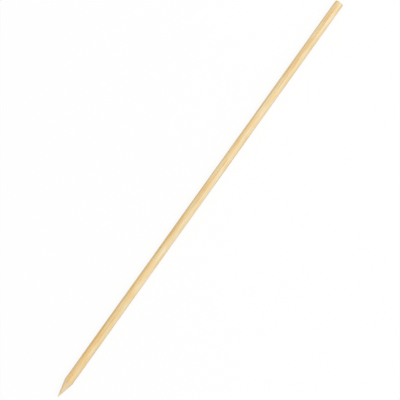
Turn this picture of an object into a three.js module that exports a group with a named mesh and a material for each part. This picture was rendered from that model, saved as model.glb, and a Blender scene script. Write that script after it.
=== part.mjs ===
// A pointed bamboo skewer, in millimetres.
// It is one piece of split bamboo: a rod planed round, cut square at one end
// and ground to a plain conical point at the other.
// The origin is the centre of the blunt end's face. The rod lies level, with
// its point towards -X, its blunt end facing +X, and +Z up.

import * as THREE from "three";
import { mergeVertices } from "three/addons/utils/BufferGeometryUtils.js";

// Driving dimensions
const length = 150; // from the very tip to the blunt end's face
const shaftDiameter = 2.75;
const pointLength = 5.5; // along the axis, from the very tip to the shoulder
const tipRadius = 0.05; // the ball that a ground bamboo point wears down to
const shoulderRadius = 2.4; // softens the edge between the ground point and the shaft
const endEasing = 0.06; // radius that tumbling leaves round the sawn end's rim

// Fineness of the faceted surface
const sides = 72; // round the rod
const tipSteps = 3;
const shoulderSteps = 4;
const easingSteps = 4;

const bambooColour = 0xe6c48e;
const bambooRoughness = 0.62;

const shaftRadius = shaftDiameter / 2;

// Half angle of a cone that touches the tip's ball and meets the shaft's
// surface at the shoulder, found from the line from the ball's centre.
function pointHalfAngle() {
  const run = pointLength - tipRadius;
  const reach = Math.hypot(run, shaftRadius);
  return Math.atan2(shaftRadius, run) - Math.asin(tipRadius / reach);
}

// Points of an arc, both ends included. Angles are in radians from the axis.
function arc(centreRadius, centreAlong, radius, from, to, steps) {
  return Array.from({ length: steps + 1 }, (_, i) => {
    const angle = from + ((to - from) * i) / steps;
    return new THREE.Vector2(
      centreRadius + radius * Math.sin(angle),
      centreAlong + radius * Math.cos(angle),
    );
  });
}

// Half of the skewer's outline, from the blunt end's centre to the tip.
// x is the distance from the axis and y the distance from the blunt end.
function outline() {
  const halfAngle = pointHalfAngle();
  const coneNormal = Math.PI / 2 - halfAngle;
  const sideways = Math.PI / 2;

  const rim = arc(shaftRadius - endEasing, endEasing, endEasing, Math.PI, sideways, easingSteps);
  const shoulderBack = shoulderRadius * Math.tan(halfAngle / 2);
  const shoulder = arc(
    shaftRadius - shoulderRadius,
    length - pointLength - shoulderBack,
    shoulderRadius,
    sideways,
    coneNormal,
    shoulderSteps,
  );
  const tip = arc(0, length - tipRadius, tipRadius, coneNormal, 0, tipSteps);
  tip.at(-1).x = 0;
  return [new THREE.Vector2(0, 0), ...rim, ...shoulder, ...tip];
}

// The lathe turns about Y, so its solid is laid down along -X afterwards.
function skewer() {
  const turned = new THREE.LatheGeometry(outline(), sides);
  turned.deleteAttribute("normal");
  turned.deleteAttribute("uv");
  const solid = mergeVertices(turned, 1e-4);
  solid.rotateZ(Math.PI / 2);
  solid.computeVertexNormals();
  const bamboo = new THREE.MeshStandardMaterial({
    color: bambooColour,
    roughness: bambooRoughness,
    metalness: 0,
  });
  const mesh = new THREE.Mesh(solid, bamboo);
  mesh.name = "skewer";
  return mesh;
}

const bambooSkewer = new THREE.Group();
bambooSkewer.add(skewer());

export default bambooSkewer;
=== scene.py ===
# A pointed bamboo skewer lying on a white studio floor.
# Lengths are in metres. The skewer lies along X, with its point at the low end.

from math import asin, atan2, cos, hypot, pi, radians, sin

import bpy
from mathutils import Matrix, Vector


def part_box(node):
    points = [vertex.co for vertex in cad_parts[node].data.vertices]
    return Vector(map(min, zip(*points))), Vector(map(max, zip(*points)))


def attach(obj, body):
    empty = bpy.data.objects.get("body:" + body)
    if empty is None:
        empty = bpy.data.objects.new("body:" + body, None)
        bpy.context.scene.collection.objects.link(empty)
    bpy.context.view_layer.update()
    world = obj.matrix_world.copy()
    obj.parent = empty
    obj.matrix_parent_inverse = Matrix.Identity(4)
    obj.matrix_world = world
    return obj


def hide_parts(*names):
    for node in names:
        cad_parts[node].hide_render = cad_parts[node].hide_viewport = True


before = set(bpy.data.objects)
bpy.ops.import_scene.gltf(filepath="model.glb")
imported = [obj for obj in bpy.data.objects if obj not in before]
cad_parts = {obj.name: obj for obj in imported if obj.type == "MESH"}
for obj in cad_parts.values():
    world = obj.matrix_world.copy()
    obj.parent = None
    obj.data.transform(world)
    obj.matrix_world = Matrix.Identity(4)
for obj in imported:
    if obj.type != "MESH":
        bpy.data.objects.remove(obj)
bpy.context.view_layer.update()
rodLow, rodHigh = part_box("skewer")
rodMiddle = (rodLow + rodHigh) / 2
rodRadius = (rodHigh.y - rodLow.y) / 2
print("frame loaded")


# Node helpers

white = (1, 1, 1, 1)
mmPerMetre = 1000
noiseMiddle = (0.5, 0.5, 0.5)
noiseLow, noiseHigh = 0.3, 0.7    # nearly all of a noise lies between these


# Adds a node, and sets or links its inputs by name or number.
def addNode(tree, kind, inputs=(), **settings):
    node = tree.nodes.new(kind)
    for name, value in settings.items():
        setattr(node, name, value)
    for socket, value in dict(inputs).items():
        if isinstance(value, bpy.types.NodeSocket):
            tree.links.new(value, node.inputs[socket])
        else:
            node.inputs[socket].default_value = value
    return node


def maths(tree, operation, first, second):
    return addNode(tree, "ShaderNodeMath", {0: first, 1: second}, operation=operation).outputs[0]


def vectors(tree, operation, first, second):
    return addNode(tree, "ShaderNodeVectorMath", {0: first, 1: second}, operation=operation).outputs[0]


def scaled(tree, vector, factor):
    return addNode(tree, "ShaderNodeVectorMath", {0: vector, "Scale": factor}, operation="SCALE").outputs[0]


def lengthOf(tree, vector):
    return addNode(tree, "ShaderNodeVectorMath", {0: vector}, operation="LENGTH").outputs["Value"]


def inMillimetres(tree, place):
    return scaled(tree, place, mmPerMetre)


def noise(tree, vector, detail, roughness=0.5):
    inputs = {"Vector": vector, "Scale": 1.0, "Detail": detail, "Roughness": roughness}
    return addNode(tree, "ShaderNodeTexNoise", inputs)


# A value that runs between two levels as another runs between two others.
def ramped(tree, value, low, high, toLow=0.0, toHigh=1.0, smooth=True):
    kind = "SMOOTHSTEP" if smooth else "LINEAR"
    inputs = {"Value": value, "From Min": low, "From Max": high, "To Min": toLow, "To Max": toHigh}
    return addNode(tree, "ShaderNodeMapRange", inputs, interpolation_type=kind).outputs["Result"]


# The Mix node's colours go in at 6 and 7 and come out at 2.
def blended(tree, share, first, second, kind="MIX"):
    inputs = {"Factor": share, 6: first, 7: second}
    return addNode(tree, "ShaderNodeMix", inputs, data_type="RGBA", blend_type=kind).outputs[2]


# Multiplies a colour by a tint that runs from one to another as a mask goes from low to high.
def tinted(tree, colour, mask, low, high, fromTint, toTint):
    tint = blended(tree, ramped(tree, mask, low, high, smooth=False), (*fromTint, 1), (*toTint, 1))
    return blended(tree, 1.0, colour, tint, "MULTIPLY")


# Starts a node group, and returns it with what it is given and what it puts out.
def startGroup(name, inputs, outputs):
    group = bpy.data.node_groups.new(name, "ShaderNodeTree")
    for label, kind, value in inputs:
        socket = group.interface.new_socket(label, in_out="INPUT", socket_type="NodeSocket" + kind)
        if value is not None:
            socket.default_value = value
    for label, kind in outputs:
        group.interface.new_socket(label, in_out="OUTPUT", socket_type="NodeSocket" + kind)
    return group, group.nodes.new("NodeGroupInput").outputs, group.nodes.new("NodeGroupOutput").inputs


# Studio

photoView = {
    "azimuth": -55.73,      # degrees round from the front
    "elevation": 72.4,      # degrees above the floor
    "distance": 0.525,      # three and a half times the skewer's length
    "lens": 157.5,          # mm
    "sensor": 36,           # mm
    "slideRight": -0.00103,  # from the skewer's middle to the centre of the picture
    "slideUp": -0.002035,
    "nearestSeen": 0.01,
}


def addCamera(view):
    turn, lift = radians(view["azimuth"]), radians(view["elevation"])
    back = Vector((sin(turn) * cos(lift), -cos(turn) * cos(lift), sin(lift)))
    facing = back.to_track_quat("Z", "Y")
    aim = rodMiddle + facing @ Vector((view["slideRight"], view["slideUp"], 0))
    bpy.ops.object.camera_add(location=aim + back * view["distance"], rotation=facing.to_euler())
    camera = bpy.context.object
    camera.name = "photoCamera"
    camera.data.sensor_width = view["sensor"]
    camera.data.lens = view["lens"]
    camera.data.clip_start = view["nearestSeen"]
    bpy.context.scene.camera = camera


studioLight = {
    "skyStrength": 0.62,        # even light from all round
    "backdropStrength": 0.995,  # what the camera sees behind the floor
    "keyPower": 4.2,            # watts
    "keySize": 0.8,             # metres across
    "keyDistance": 0.9,
    "keyLean": 24,              # degrees from straight overhead, towards -Y
    "keyAlong": 0.26,           # moved this far towards the blunt end
}


def addLights(light):
    bpy.context.scene.view_settings.view_transform = "Standard"
    lean = radians(light["keyLean"])
    away = light["keyDistance"] * Vector((0, -sin(lean), cos(lean)))
    away.x = light["keyAlong"]
    bpy.ops.object.light_add(
        type="AREA", location=rodMiddle + away, rotation=away.to_track_quat("Z", "Y").to_euler()
    )
    key = bpy.context.object
    key.name = "softKey"
    key.data.energy = light["keyPower"]
    key.data.size = light["keySize"]

    world = bpy.data.worlds.new("evenSky")
    bpy.context.scene.world = world
    world.use_nodes = True
    tree = world.node_tree
    tree.nodes.clear()
    rays = addNode(tree, "ShaderNodeLightPath").outputs
    direct = maths(tree, "MAXIMUM", rays["Is Camera Ray"], rays["Is Glossy Ray"])
    direct = maths(tree, "MAXIMUM", direct, rays["Is Transmission Ray"])
    sky = addNode(tree, "ShaderNodeBackground", {"Color": white, "Strength": light["skyStrength"]})
    seen = addNode(tree, "ShaderNodeBackground", {"Color": white, "Strength": light["backdropStrength"]})
    choose = addNode(tree, "ShaderNodeMixShader", {"Fac": direct, 1: sky.outputs[0], 2: seen.outputs[0]})
    addNode(tree, "ShaderNodeOutputWorld", {"Surface": choose.outputs[0]})


studioFloor = {
    "size": 6.0,           # metres across
    "colour": (0.7, 0.7, 0.7, 1),
    "glowShare": 0.8,      # how much of the floor that the camera sees is plain white
    "glowStrength": 1.076,
}


def addFloor(floor):
    bpy.ops.mesh.primitive_plane_add(size=floor["size"], location=(0, 0, rodLow.z))
    plane = bpy.context.object
    plane.name = "studioFloor"
    paper = bpy.data.materials.new("whitePaper")
    paper.use_nodes = True
    tree = paper.node_tree
    tree.nodes.clear()
    rays = addNode(tree, "ShaderNodeLightPath").outputs
    share = maths(tree, "MULTIPLY", rays["Is Camera Ray"], floor["glowShare"])
    matt = addNode(tree, "ShaderNodeBsdfDiffuse", {"Color": floor["colour"]})
    glow = addNode(tree, "ShaderNodeEmission", {"Strength": floor["glowStrength"]})
    mixed = addNode(tree, "ShaderNodeMixShader", {"Fac": share, 1: matt.outputs[0], 2: glow.outputs[0]})
    addNode(tree, "ShaderNodeOutputMaterial", {"Surface": mixed.outputs[0]})
    plane.data.materials.append(paper)


# Bamboo

caneGrain = {
    "strandSize": 0.33,      # of a spacing, from a strand's middle to the ends of its lobes
    "softEdge": 0.13,
    "innerSize": 0.85,       # times that size, on the culm's inner side
    "skinSize": 1.2,         # and on its skin side
    "lobeNarrowing": 1.7,    # how many times longer than wide a strand's two ovals are
    "unevenness": 0.8,       # 0 sets the strands out on a square grid
    "faintestStrand": 0.4,   # beside the clearest
    "poreOffset": 0.11,      # of a spacing, each way from a strand's middle
    "poreSize": 0.07,
    "faintestPore": 0.3,     # beside the clearest
    "poreTones": (0.1, 0.8),  # tones of the strands with the faintest and the clearest pores
    "wanderLength": 26,      # mm along the rod
    "wanderWidth": 2.4,      # mm, within which strands wander together
    "wanderDetail": 1.0,
    "fibreWidth": 0.15,      # mm
    "fibreDetail": 4.0,
    "fibreRoughness": 0.62,
    "streakWidth": 0.85,     # mm
    "streakLength": 5.5,
    "driftWidth": 3.0,       # mm
    "driftLength": 20,
    "patchDetail": 2.0,      # of the streaks and the drift
    "patchStart": 26,        # patch lengths by which both are moved along the rod
}
caneColour = {
    "tissue": (0.926, 0.78, 0.51),
    "strand": (0.77, 0.49, 0.21),
    "pore": (0.36, 0.2, 0.085),
    "darkFibre": (0.93, 0.9, 0.84),
    "paleFibre": (1.04, 1.05, 1.08),
    "orangeStreak": (1.005, 0.885, 0.69),
    "yellowStreak": (0.985, 1.06, 1.18),
    "duskyDrift": (0.965, 0.92, 0.83),
    "paleDrift": (1.02, 1.045, 1.11),
    "towardsPoint": (0.97, 0.935, 0.85),
    # darker and oranger on +Y: partly the skin side's own colour, partly painted shade
    "skinSideAndPaintedShade": (1.01, 0.943, 0.785),
    "dust": (0.86, 0.78, 0.65),    # broken fibre, where the cane is ground or sawn
}


# The cane's section in the YZ plane, in millimetres, drawn out along X and wandering a little:
# strands of fibre with two open pores in each, and fine fibres and streaks in the tissue between.
# The side that grew nearest to the culm's skin is +Y, where the strands are larger; the same mask tints
# that side darker in the colour, partly as painted shade.
def makeCaneGroup(grain):
    inputs = [
        ("Place", "Vector", None),
        ("Strand Spacing", "Float", 0.5),
        ("Wander", "Float", 0.3),
        ("Fibre Stretch", "Float", 20.0),
    ]
    masks = ["Strands", "Pores", "Fibres", "Streaks", "Drift", "Skin Side And Painted Shade"]
    group, given, put = startGroup("caneSection", inputs, [(mask, "Float") for mask in masks])
    straight = inMillimetres(group, given["Place"])

    # The strands swing across the rod by as much as Wander each way.
    together = (1 / grain["wanderLength"], 1 / grain["wanderWidth"], 1 / grain["wanderWidth"])
    spread = vectors(group, "MULTIPLY", straight, together)
    swing = noise(group, spread, grain["wanderDetail"]).outputs["Color"]
    swing = vectors(group, "SUBTRACT", swing, noiseMiddle)
    swing = scaled(group, vectors(group, "MULTIPLY", swing, (0, 2, 2)), given["Wander"])
    place = vectors(group, "ADD", straight, swing)

    side = addNode(group, "ShaderNodeSeparateXYZ", {0: straight}).outputs["Y"]
    radius = mmPerMetre * rodRadius
    # From -Y to +Y: sizes the strands, and darkens the +Y side's colour, partly as painted shade.
    skinSideAndShade = ramped(group, side, -radius, radius, smooth=False)

    placed = addNode(group, "ShaderNodeSeparateXYZ", {0: place}).outputs
    section = addNode(group, "ShaderNodeCombineXYZ", {"X": placed["Y"], "Y": placed["Z"]}).outputs[0]
    perSpacing = maths(group, "DIVIDE", 1.0, given["Strand Spacing"])
    settings = {"Vector": section, "Scale": perSpacing, "Randomness": grain["unevenness"]}
    cells = addNode(group, "ShaderNodeTexVoronoi", settings, voronoi_dimensions="2D").outputs
    fromMiddle = scaled(group, vectors(group, "SUBTRACT", section, cells["Position"]), perSpacing)

    # Two crossed ovals give each strand its four lobes.
    narrowing = grain["lobeNarrowing"]
    tall = lengthOf(group, vectors(group, "MULTIPLY", fromMiddle, (1, narrowing, 0)))
    wide = lengthOf(group, vectors(group, "MULTIPLY", fromMiddle, (narrowing, 1, 0)))
    nearest = maths(group, "MINIMUM", tall, wide)
    size = ramped(group, skinSideAndShade, 0, 1, grain["innerSize"], grain["skinSize"], False)
    lobed = maths(group, "DIVIDE", nearest, size)
    inside, outside = grain["strandSize"] - grain["softEdge"], grain["strandSize"] + grain["softEdge"]
    tone = addNode(group, "ShaderNodeSeparateColor", {"Color": cells["Color"]}).outputs["Red"]
    strands = ramped(group, lobed, outside, inside)
    clearness = ramped(group, tone, 0, 1, grain["faintestStrand"])
    strands = maths(group, "MULTIPLY", strands, clearness)

    mirrored = addNode(group, "ShaderNodeVectorMath", {0: fromMiddle}, operation="ABSOLUTE").outputs[0]
    fromPore = lengthOf(group, vectors(group, "SUBTRACT", mirrored, (0, grain["poreOffset"], 0)))
    pores = ramped(group, fromPore, grain["poreSize"], grain["poreSize"] / 2)
    clearness = ramped(group, tone, *grain["poreTones"], grain["faintestPore"])
    pores = maths(group, "MULTIPLY", pores, clearness)

    fibreAcross = 1 / grain["fibreWidth"]
    fibreAlong = maths(group, "DIVIDE", fibreAcross, given["Fibre Stretch"])
    stretch = addNode(group, "ShaderNodeCombineXYZ", {"X": fibreAlong, "Y": fibreAcross, "Z": fibreAcross})
    spread = vectors(group, "MULTIPLY", place, stretch.outputs[0])
    fibres = noise(group, spread, grain["fibreDetail"], grain["fibreRoughness"]).outputs["Fac"]

    patches = []
    for patch in ("streak", "drift"):
        across, lengthwise = 1 / grain[patch + "Width"], 1 / grain[patch + "Length"]
        spread = vectors(group, "MULTIPLY", place, (lengthwise, across, across))
        spread = vectors(group, "ADD", spread, (grain["patchStart"], 0, 0))
        patches.append(noise(group, spread, grain["patchDetail"]).outputs["Fac"])

    for mask, value in zip(masks, (strands, pores, fibres, *patches, skinSideAndShade)):
        group.links.new(value, put[mask])
    return group


# Colour of the cut cane from the masks of its section.
def makeColourGroup(colours):
    inputs = [
        ("Strands", "Float", 0.0),
        ("Pores", "Float", 0.0),
        ("Fibres", "Float", 0.5),
        ("Streaks", "Float", 0.5),
        ("Drift", "Float", 0.5),
        ("Skin Side And Painted Shade", "Float", 0.5),
        ("Point Side", "Float", 0.0),
        ("Strand Depth", "Float", 0.5),
        ("Pore Depth", "Float", 0.5),
        ("Dust", "Float", 0.0),
    ]
    group, given, put = startGroup("caneColour", inputs, [("Colour", "Color")])
    strandShare = maths(group, "MULTIPLY", given["Strands"], given["Strand Depth"])
    poreShare = maths(group, "MULTIPLY", given["Pores"], given["Pore Depth"])
    colour = blended(group, strandShare, (*colours["tissue"], 1), (*colours["strand"], 1))
    colour = blended(group, poreShare, colour, (*colours["pore"], 1))
    patchTints = [
        ("Fibres", "darkFibre", "paleFibre"),
        ("Streaks", "orangeStreak", "yellowStreak"),
        ("Drift", "duskyDrift", "paleDrift"),
    ]
    for mask, dark, pale in patchTints:
        colour = tinted(group, colour, given[mask], noiseLow, noiseHigh, colours[dark], colours[pale])
    # The +Y side is tinted darker and oranger: partly the skin side's own colour, partly painted shade.
    for side, tint in (("Skin Side And Painted Shade", "skinSideAndPaintedShade"), ("Point Side", "towardsPoint")):
        colour = tinted(group, colour, given[side], 0.0, 1.0, (1, 1, 1), colours[tint])
    colour = blended(group, given["Dust"], colour, (*colours["dust"], 1))
    group.links.new(colour, put["Colour"])
    return group


markDetail, markRoughness = 2.0, 0.6


# Fine marks that a maker's tool leaves, so many to the millimetre each way.
def makeToolMarkGroup():
    inputs = [("Place", "Vector", None), ("Marks Per Millimetre", "Vector", (1, 1, 1))]
    group, given, put = startGroup("toolMarks", inputs, [("Marks", "Float")])
    place = inMillimetres(group, given["Place"])
    counted = vectors(group, "MULTIPLY", place, given["Marks Per Millimetre"])
    marks = noise(group, counted, markDetail, markRoughness).outputs["Fac"]
    group.links.new(marks, put["Marks"])
    return group


planedSkin = {
    "name": "planedBamboo",
    "spacing": 0.52, "wander": 0.3, "fibreStretch": 22.0,
    "strandDepth": 0.55, "poreDepth": 0.6, "dust": 0.0,
    "glossy": 0.46, "rough": 0.66, "specular": 0.5,
    "toolMarks": (0.03, 11, 11), "markHeight": 0.5, "relief": 0.000014,
}
groundPoint = {
    "name": "groundBamboo",
    "spacing": 0.52, "wander": 0.3, "fibreStretch": 12.0,
    "strandDepth": 0.6, "poreDepth": 0.7, "dust": 0.22,
    "glossy": 0.6, "rough": 0.8, "specular": 0.45,
    "toolMarks": (9, 0.7, 0.7), "markHeight": 1.1, "relief": 0.000016,
}
sawnFace = {
    "name": "sawnBamboo",
    "spacing": 0.52, "wander": 0.3, "fibreStretch": 2.0,
    "strandDepth": 1.0, "poreDepth": 0.95, "dust": 0.08,
    "glossy": 0.75, "rough": 0.92, "specular": 0.4,
    "toolMarks": (0.5, 0.5, 9), "markHeight": 1.0, "relief": 0.00002,
}
strandHeight, poreHeight = 0.35, -0.9    # beside a fibre's height of 1


def bambooMaterial(finish, caneGroup, colourGroup, markGroup):
    material = bpy.data.materials.new(finish["name"])
    material.use_nodes = True
    tree = material.node_tree
    place = addNode(tree, "ShaderNodeTexCoord").outputs["Object"]
    cane = addNode(tree, "ShaderNodeGroup", node_tree=caneGroup)
    tree.links.new(place, cane.inputs["Place"])
    cane.inputs["Strand Spacing"].default_value = finish["spacing"]
    cane.inputs["Wander"].default_value = finish["wander"]
    cane.inputs["Fibre Stretch"].default_value = finish["fibreStretch"]
    masks = cane.outputs

    alongX = addNode(tree, "ShaderNodeSeparateXYZ", {0: place}).outputs["X"]
    colour = addNode(tree, "ShaderNodeGroup", node_tree=colourGroup)
    for mask in masks:
        tree.links.new(mask, colour.inputs[mask.name])
    tree.links.new(ramped(tree, alongX, rodHigh.x, rodLow.x, smooth=False), colour.inputs["Point Side"])
    colour.inputs["Strand Depth"].default_value = finish["strandDepth"]
    colour.inputs["Pore Depth"].default_value = finish["poreDepth"]
    colour.inputs["Dust"].default_value = finish["dust"]

    marks = addNode(tree, "ShaderNodeGroup", node_tree=markGroup)
    tree.links.new(place, marks.inputs["Place"])
    marks.inputs["Marks Per Millimetre"].default_value = finish["toolMarks"]
    heights = [
        (masks["Strands"], strandHeight),
        (masks["Pores"], poreHeight),
        (marks.outputs["Marks"], finish["markHeight"]),
    ]
    height = masks["Fibres"]
    for mask, share in heights:
        height = maths(tree, "ADD", height, maths(tree, "MULTIPLY", mask, share))
    settings = {"Height": height, "Distance": finish["relief"], "Strength": 1.0}
    bump = addNode(tree, "ShaderNodeBump", settings)

    shader = tree.nodes["Principled BSDF"]
    shader.inputs["Specular IOR Level"].default_value = finish["specular"]
    levels = noiseLow, noiseHigh, finish["rough"], finish["glossy"]
    roughness = ramped(tree, masks["Fibres"], *levels, smooth=False)
    tree.links.new(colour.outputs["Colour"], shader.inputs["Base Color"])
    tree.links.new(roughness, shader.inputs["Roughness"])
    tree.links.new(bump.outputs["Normal"], shader.inputs["Normal"])
    return material


# Skewer

skewerShape = {
    "sides": 144,
    "pointLength": 0.0055,
    "tipRadius": 0.00005,
    "tipRings": 5,
    "shoulderSoftening": 0.0003,
    "shoulderSteps": 4,
    "endEasing": 0.00006,
    "endSteps": 3,
    "endRings": 12,
    "firstCuts": 17,        # along the shaft, cut twice
    "secondCuts": 15,
    "pointCuts": 36,
    "tipFading": 1.5,       # how steeply the relief fades towards the axis
    "sawnFading": 20,
    "smoothAngle": 40,      # degrees between faces that are shaded as one surface
}
skewerRelief = {
    "planedFlats": {"length": 0.045, "width": 0.0009, "depth": 0.000026},
    "openGrain": {"length": 0.012, "width": 0.00028, "depth": 0.000016},
}
shaftSlot, pointSlot, faceSlot = range(3)    # the order of the skewer's finishes
nearEnough = 1e-6
squareOn = 0.999         # the least X of the normal of a face that lies square across the rod
endways = 0.9            # and of one that is finished as sawn, which takes in the easing next to the face


# Leaves nothing selected, so that faces or edges can then be picked by their place.
def startPicking(kind):
    bpy.ops.object.mode_set(mode="EDIT")
    bpy.ops.mesh.select_mode(type=kind)
    bpy.ops.mesh.select_all(action="DESELECT")
    bpy.ops.object.mode_set(mode="OBJECT")


def pickFaces(piece, test):
    startPicking("FACE")
    for face in piece.data.polygons:
        face.select = test(face)
    bpy.ops.object.mode_set(mode="EDIT")


def pickEdges(piece, test):
    startPicking("EDGE")
    points = piece.data.vertices
    for edge in piece.data.edges:
        edge.select = test(*(points[i].co for i in edge.vertices))
    bpy.ops.object.mode_set(mode="EDIT")


def pickRing(piece, x):
    pickEdges(piece, lambda a, b: abs(a.x - x) < nearEnough and abs(b.x - x) < nearEnough)


# Draws the picked end out to a new ring, and scales that ring about the axis.
def pushRing(step, x, size):
    bpy.ops.mesh.extrude_region_move(TRANSFORM_OT_translate={"value": (step, 0, 0)})
    bpy.ops.transform.resize(value=(1, size, size), center_override=(x, 0, 0))


def modelSkewer(shape):
    blunt, tip = rodHigh.x, rodLow.x
    shoulder = tip + shape["pointLength"]

    bpy.ops.object.select_all(action="DESELECT")
    bpy.ops.mesh.primitive_cylinder_add(
        vertices=shape["sides"], radius=rodRadius, depth=blunt - shoulder, end_fill_type="NGON",
        location=((blunt + shoulder) / 2, 0, 0), rotation=(0, pi / 2, 0), calc_uvs=False,
    )
    skewer = bpy.context.object
    skewer.name = skewer.data.name = "bambooSkewer"
    bpy.ops.object.transform_apply(location=True, rotation=True, scale=True)

    # The point: a cone that runs into a small ball at the tip.
    ball = shape["tipRadius"]
    run = shape["pointLength"] - ball
    halfAngle = atan2(rodRadius, run) - asin(ball / hypot(run, rodRadius))
    pickFaces(skewer, lambda face: face.normal.x < -squareOn)
    x, across = shoulder, rodRadius
    rings = shape["tipRings"] + 1
    for i in range(rings):
        angle = (pi / 2 - halfAngle) * (1 - i / rings)
        nextX, nextAcross = tip + ball - ball * cos(angle), ball * sin(angle)
        pushRing(nextX - x, nextX, nextAcross / across)
        x, across = nextX, nextAcross
    bpy.ops.mesh.extrude_region_move(TRANSFORM_OT_translate={"value": (tip - x, 0, 0)})
    bpy.ops.mesh.merge(type="CENTER")

    # The shoulder is eased, and so is the sawn end's rim.
    pickRing(skewer, shoulder)
    bpy.ops.mesh.bevel(offset=shape["shoulderSoftening"], segments=shape["shoulderSteps"], affect="EDGES")
    pickRing(skewer, blunt)
    bpy.ops.mesh.bevel(offset=shape["endEasing"], segments=shape["endSteps"], affect="EDGES")
    pickFaces(skewer, lambda face: face.normal.x > squareOn)
    ringWidth = (rodRadius - shape["endEasing"]) / (shape["endRings"] + 1)
    for _ in range(shape["endRings"]):
        bpy.ops.mesh.inset(thickness=ringWidth)
    bpy.ops.mesh.poke()

    # Rings along the shaft and the point, for the relief to follow.
    halfShaft, halfPoint = (blunt - shoulder) / 2, shape["pointLength"] / 2
    pickEdges(skewer, lambda a, b: abs(a.x - b.x) > halfShaft)
    bpy.ops.mesh.subdivide(number_cuts=shape["firstCuts"])
    pickEdges(skewer, lambda a, b: abs(a.x - b.x) > halfPoint and min(a.x, b.x) > shoulder)
    bpy.ops.mesh.subdivide(number_cuts=shape["secondCuts"])
    pickEdges(skewer, lambda a, b: abs(a.x - b.x) > halfPoint)
    bpy.ops.mesh.subdivide(number_cuts=shape["pointCuts"])
    bpy.ops.object.mode_set(mode="OBJECT")
    return skewer


# The relief fades out towards the tip, which stays sharp, and inside the sawn face, which stays flat.
def markRelief(skewer, shape):
    strength = skewer.vertex_groups.new(name="relief")
    sawn = rodHigh.x - shape["endEasing"] / 2
    for point in skewer.data.vertices:
        share = min(1.0, hypot(point.co.y, point.co.z) / rodRadius)
        fading = shape["sawnFading"] if point.co.x > sawn else shape["tipFading"]
        strength.add([point.index], share ** fading, "REPLACE")


# A cloud texture that an empty stretches along the rod moves the surface inwards.
def roughen(skewer, relief):
    for name, pattern in relief.items():
        bpy.ops.object.empty_add(location=(0, 0, 0))
        stretcher = bpy.context.object
        stretcher.scale = (pattern["length"], pattern["width"], pattern["width"])
        bpy.context.view_layer.update()
        clouds = bpy.data.textures.new(name, "CLOUDS")
        clouds.noise_scale = 1.0
        clouds.noise_depth = 1
        bpy.context.view_layer.objects.active = skewer
        skewer.select_set(True)
        push = skewer.modifiers.new(name, "DISPLACE")
        push.texture = clouds
        push.texture_coords = "OBJECT"
        push.texture_coords_object = stretcher
        push.vertex_group = "relief"
        push.mid_level = 1.0
        push.strength = pattern["depth"]
        bpy.ops.object.modifier_apply(modifier=name)
        bpy.data.objects.remove(stretcher)
        bpy.data.textures.remove(clouds)
    skewer.vertex_groups.clear()


def finishSkewer(skewer, shape):
    groups = makeCaneGroup(caneGrain), makeColourGroup(caneColour), makeToolMarkGroup()
    for finish in (planedSkin, groundPoint, sawnFace):
        skewer.data.materials.append(bambooMaterial(finish, *groups))
    shoulder = rodLow.x + shape["pointLength"]
    for face in skewer.data.polygons:
        if face.center.x < shoulder:
            face.material_index = pointSlot
        elif face.normal.x > endways:
            face.material_index = faceSlot


flatSheet = {
    "strips": 3,             # the shaft's surface, cut into lengths that lie above each other
    "stripHeight": 0.278,
    "gap": 0.014,
    "margin": 0.01,
    "pointWidth": 0.84,      # the point's surface, opened out above them
    "faceSize": 0.11,        # the sawn face, beside it
}


# From -0.5 to 0.5 round the rod, with 0 on top.
def turnOf(place):
    return atan2(place.y, place.z) / (2 * pi)


# Lays the surface out flat on one sheet, cut open along the underside.
def layOutFlat(skewer, sheet, shape):
    mesh = skewer.data
    shoulder = rodLow.x + shape["pointLength"]
    stripLength = (rodHigh.x - shoulder) / sheet["strips"]
    topBand = sheet["margin"] + sheet["strips"] * (sheet["stripHeight"] + sheet["gap"])
    bandHeight = 1 - sheet["margin"] - topBand
    inner = 1 - 2 * sheet["margin"]
    layer = mesh.uv_layers.new(name="OFBake")
    for face in mesh.polygons:
        faceTurn = turnOf(face.center)
        strip = min(sheet["strips"] - 1, max(0, int((face.center.x - shoulder) / stripLength)))
        for corner in face.loop_indices:
            place = mesh.vertices[mesh.loops[corner].vertex_index].co
            turn = turnOf(place) if hypot(place.y, place.z) > nearEnough else faceTurn
            turn += round(faceTurn - turn)
            if face.material_index == shaftSlot:
                stripStart = shoulder + strip * stripLength
                stripFoot = sheet["margin"] + strip * (sheet["stripHeight"] + sheet["gap"])
                u = sheet["margin"] + inner * (place.x - stripStart) / stripLength
                v = stripFoot + sheet["stripHeight"] * (turn + 0.5)
            elif face.material_index == pointSlot:
                u = sheet["margin"] + sheet["pointWidth"] * (turn + 0.5)
                v = topBand + bandHeight * (place.x - rodLow.x) / shape["pointLength"]
            else:
                u = 1 - sheet["margin"] - sheet["faceSize"] * (0.5 - place.y / rodRadius / 2)
                v = topBand + sheet["faceSize"] * (0.5 + place.z / rodRadius / 2)
            layer.data[corner].uv = (u, v)


addCamera(photoView)
addLights(studioLight)
addFloor(studioFloor)
print("studio ready")

skewer = modelSkewer(skewerShape)
print("skewer modelled:", len(skewer.data.polygons), "faces")
markRelief(skewer, skewerShape)
roughen(skewer, skewerRelief)
print("relief done")
finishSkewer(skewer, skewerShape)
layOutFlat(skewer, flatSheet, skewerShape)
bpy.ops.object.shade_smooth_by_angle(angle=radians(skewerShape["smoothAngle"]))
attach(skewer, "root")
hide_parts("skewer")
print("bamboo finished")
